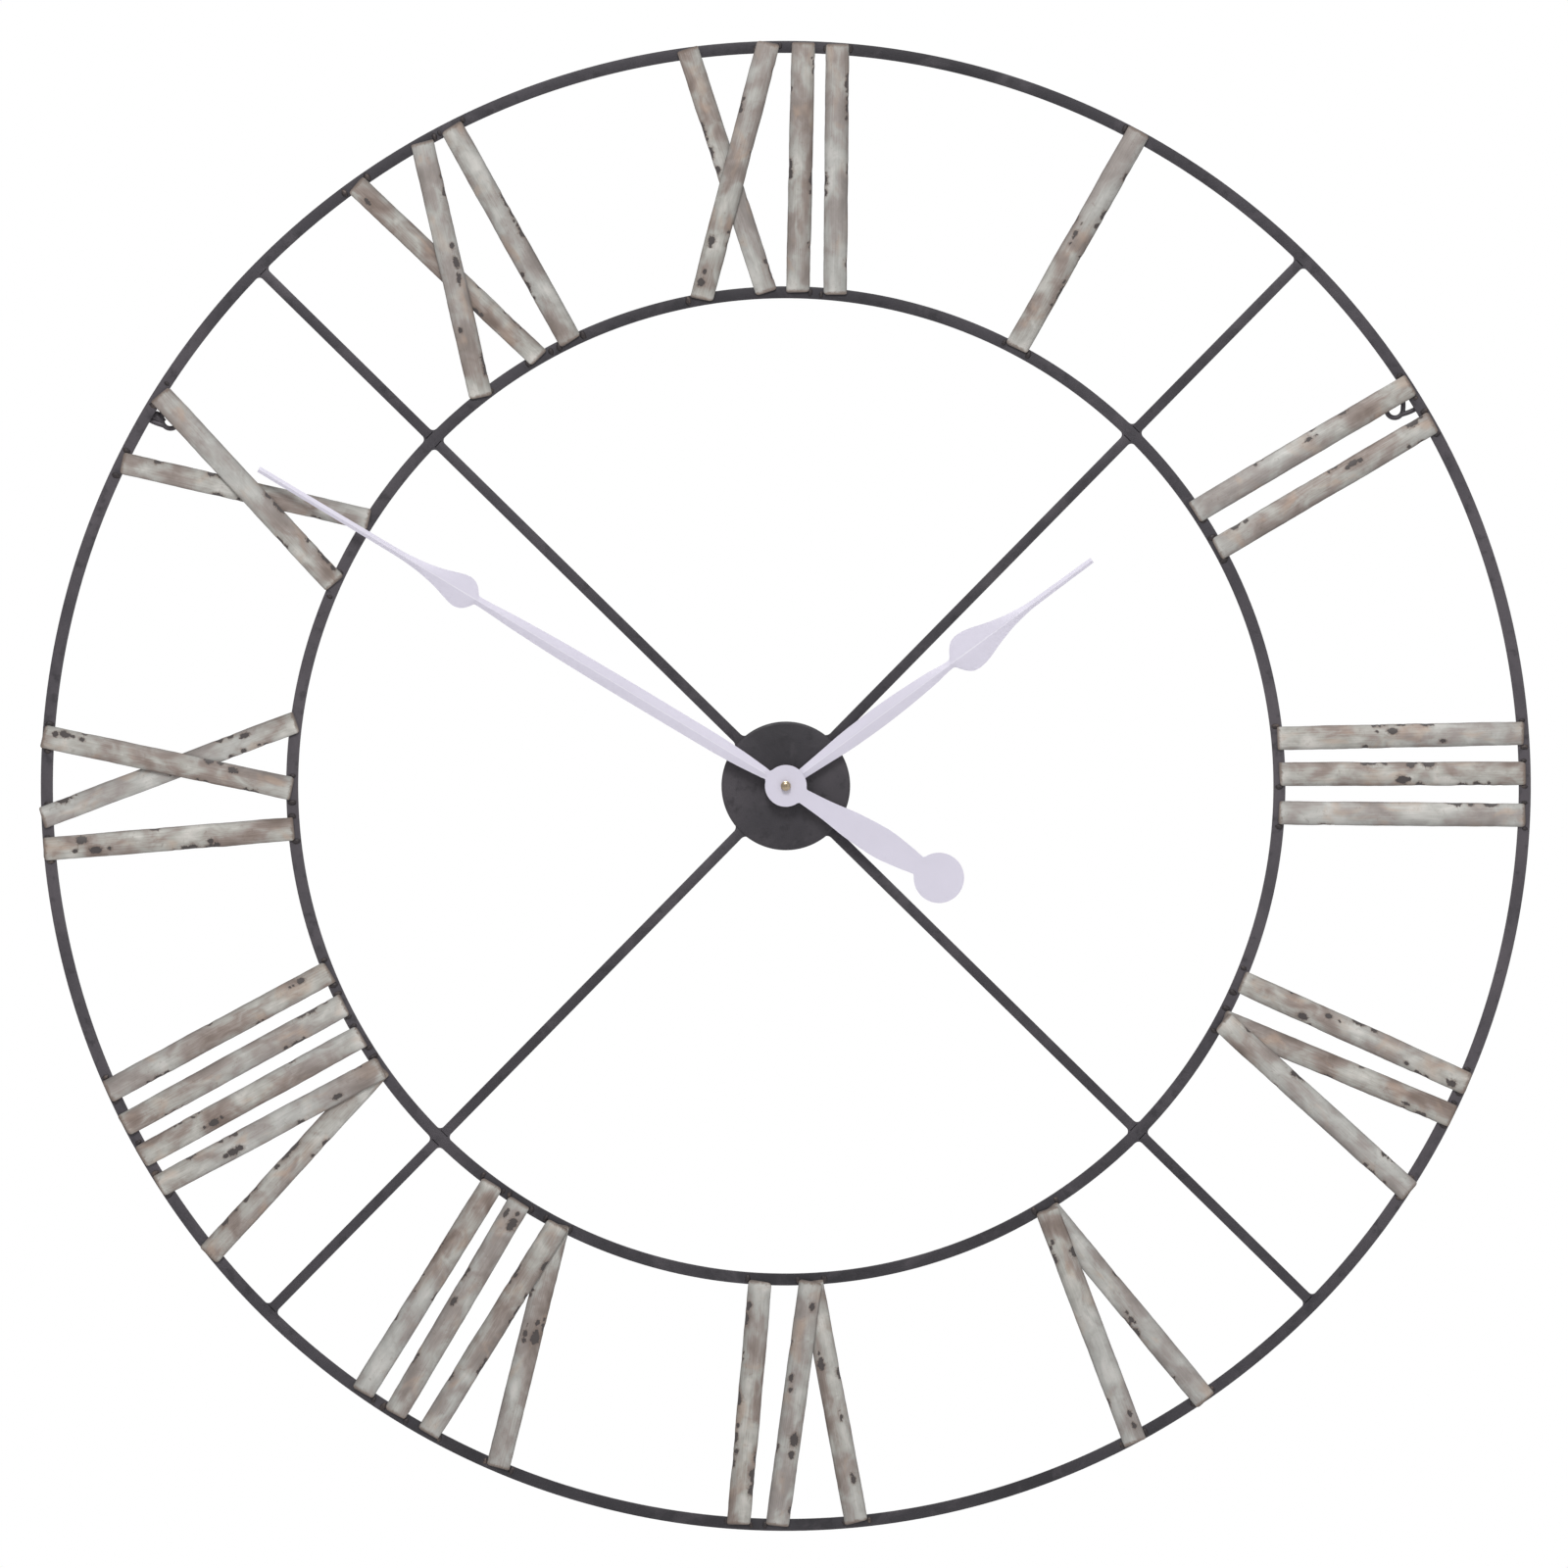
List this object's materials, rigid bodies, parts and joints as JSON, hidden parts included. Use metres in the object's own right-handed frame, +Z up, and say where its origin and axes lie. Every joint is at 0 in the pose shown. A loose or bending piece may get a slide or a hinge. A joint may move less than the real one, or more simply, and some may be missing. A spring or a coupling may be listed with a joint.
{
  "type": "wall clock",
  "caption": "Large open metal wall clock with two rings on four spokes, Roman numeral strips, spade hands and a battery movement.",
  "frame": {"origin": "on the axis of the hands, at the flat rear face of the movement cover, which lies in the wall plane", "axes": "+Z up, +Y into the wall, so the dial faces -Y, and +X to the right as seen by a person reading the clock"},
  "size_m": [1.0019, 0.0307, 1.001],
  "materials": {
    "iron": "matte charcoal, hand finished",
    "painted_tin": "distressed pale grey-green paint, brushed, with dark chips",
    "lilac_paint": "matte pale lilac-grey paint over sheet",
    "brass": "dull",
    "black_plastic": "fine moulded texture",
    "white_plastic": "moulded",
    "rubber": "matte",
    "steel": "satin",
    "cell_jacket": "printed film jacket, plain"
  },
  "bodies": {
    "frame": {"outer_ring": "iron", "inner_ring": "iron", "spoke_upper_right": "iron", "spoke_lower_right": "iron", "spoke_lower_left": "iron", "spoke_upper_left": "iron", "hub_disc": "iron", "hanging_loop_right": "iron", "hanging_loop_left": "iron", "movement_case": "black_plastic", "movement_cover": "black_plastic", "rubber_washer": "rubber", "bushing_nut": "brass", "strip_I_1": "painted_tin", "strip_II_1": "painted_tin", "strip_II_2": "painted_tin", "strip_III_1": "painted_tin", "strip_III_2": "painted_tin", "strip_III_3": "painted_tin", "strip_IV_1": "painted_tin", "strip_IV_2": "painted_tin", "strip_IV_3": "painted_tin", "strip_V_1": "painted_tin", "strip_V_2": "painted_tin", "strip_VI_1": "painted_tin", "strip_VI_2": "painted_tin", "strip_VI_3": "painted_tin", "strip_VII_1": "painted_tin", "strip_VII_2": "painted_tin", "strip_VII_3": "painted_tin", "strip_VII_4": "painted_tin", "strip_VIII_1": "painted_tin", "strip_VIII_2": "painted_tin", "strip_VIII_3": "painted_tin", "strip_VIII_4": "painted_tin", "strip_VIII_5": "painted_tin", "strip_IX_1": "painted_tin", "strip_IX_2": "painted_tin", "strip_IX_3": "painted_tin", "strip_X_1": "painted_tin", "strip_X_2": "painted_tin", "strip_XI_1": "painted_tin", "strip_XI_2": "painted_tin", "strip_XI_3": "painted_tin", "strip_XII_1": "painted_tin", "strip_XII_2": "painted_tin", "strip_XII_3": "painted_tin", "strip_XII_4": "painted_tin"},
    "minute_hand": {"minute_hand": "lilac_paint", "hand_nut": "brass", "centre_wheel": "brass"},
    "hour_hand": {"hour_hand": "lilac_paint", "hour_wheel": "white_plastic"},
    "minute_wheel": {"minute_wheel": "white_plastic"},
    "third_wheel": {"third_wheel": "brass"},
    "fourth_wheel": {"fourth_wheel": "white_plastic"},
    "fifth_wheel": {"fifth_wheel": "white_plastic"},
    "rotor": {"rotor": "steel"},
    "setting_knob": {"setting_knob": "black_plastic"},
    "battery": {"battery": "cell_jacket"}
  },
  "joints": [
    {"name": "minute_hand_turn", "type": "hinge", "parent": "frame", "child": "minute_hand", "pos_m": [0, 0, 0], "axis": [0, 1, 0], "continuous": true},
    {"name": "hour_hand_turn", "type": "hinge", "parent": "frame", "child": "hour_hand", "pos_m": [0, 0, 0], "axis": [0, 1, 0], "continuous": true},
    {"name": "minute_wheel_turn", "type": "hinge", "parent": "frame", "child": "minute_wheel", "pos_m": [0.01128, 0, 0.0041], "axis": [0, 1, 0], "continuous": true},
    {"name": "third_wheel_turn", "type": "hinge", "parent": "frame", "child": "third_wheel", "pos_m": [-0.00935, 0, 0.0054], "axis": [0, 1, 0], "continuous": true},
    {"name": "fourth_wheel_turn", "type": "hinge", "parent": "frame", "child": "fourth_wheel", "pos_m": [-0.01112, 0, 0.01545], "axis": [0, 1, 0], "continuous": true},
    {"name": "fifth_wheel_turn", "type": "hinge", "parent": "frame", "child": "fifth_wheel", "pos_m": [-0.00272, 0, 0.01545], "axis": [0, 1, 0], "continuous": true},
    {"name": "rotor_turn", "type": "hinge", "parent": "frame", "child": "rotor", "pos_m": [0.00437, 0, 0.0167], "axis": [0, 1, 0], "continuous": true},
    {"name": "setting_knob_turn", "type": "hinge", "parent": "frame", "child": "setting_knob", "pos_m": [0.01995, 0, 0.01445], "axis": [0, 1, 0], "continuous": true},
    {"name": "battery_slide", "type": "slide", "parent": "frame", "child": "battery", "axis": [0, 1, 0], "range_m": [0, 0.02]}
  ],
  "couplings": [
    {"joint": "hour_hand_turn", "follows": "minute_hand_turn", "ratio": 0.083333},
    {"joint": "minute_wheel_turn", "follows": "minute_hand_turn", "ratio": -0.33333},
    {"joint": "third_wheel_turn", "follows": "minute_hand_turn", "ratio": -8},
    {"joint": "fourth_wheel_turn", "follows": "minute_hand_turn", "ratio": 60},
    {"joint": "fifth_wheel_turn", "follows": "minute_hand_turn", "ratio": -360},
    {"joint": "rotor_turn", "follows": "minute_hand_turn", "ratio": 1800},
    {"joint": "setting_knob_turn", "follows": "minute_hand_turn", "ratio": 0.66667}
  ]
}
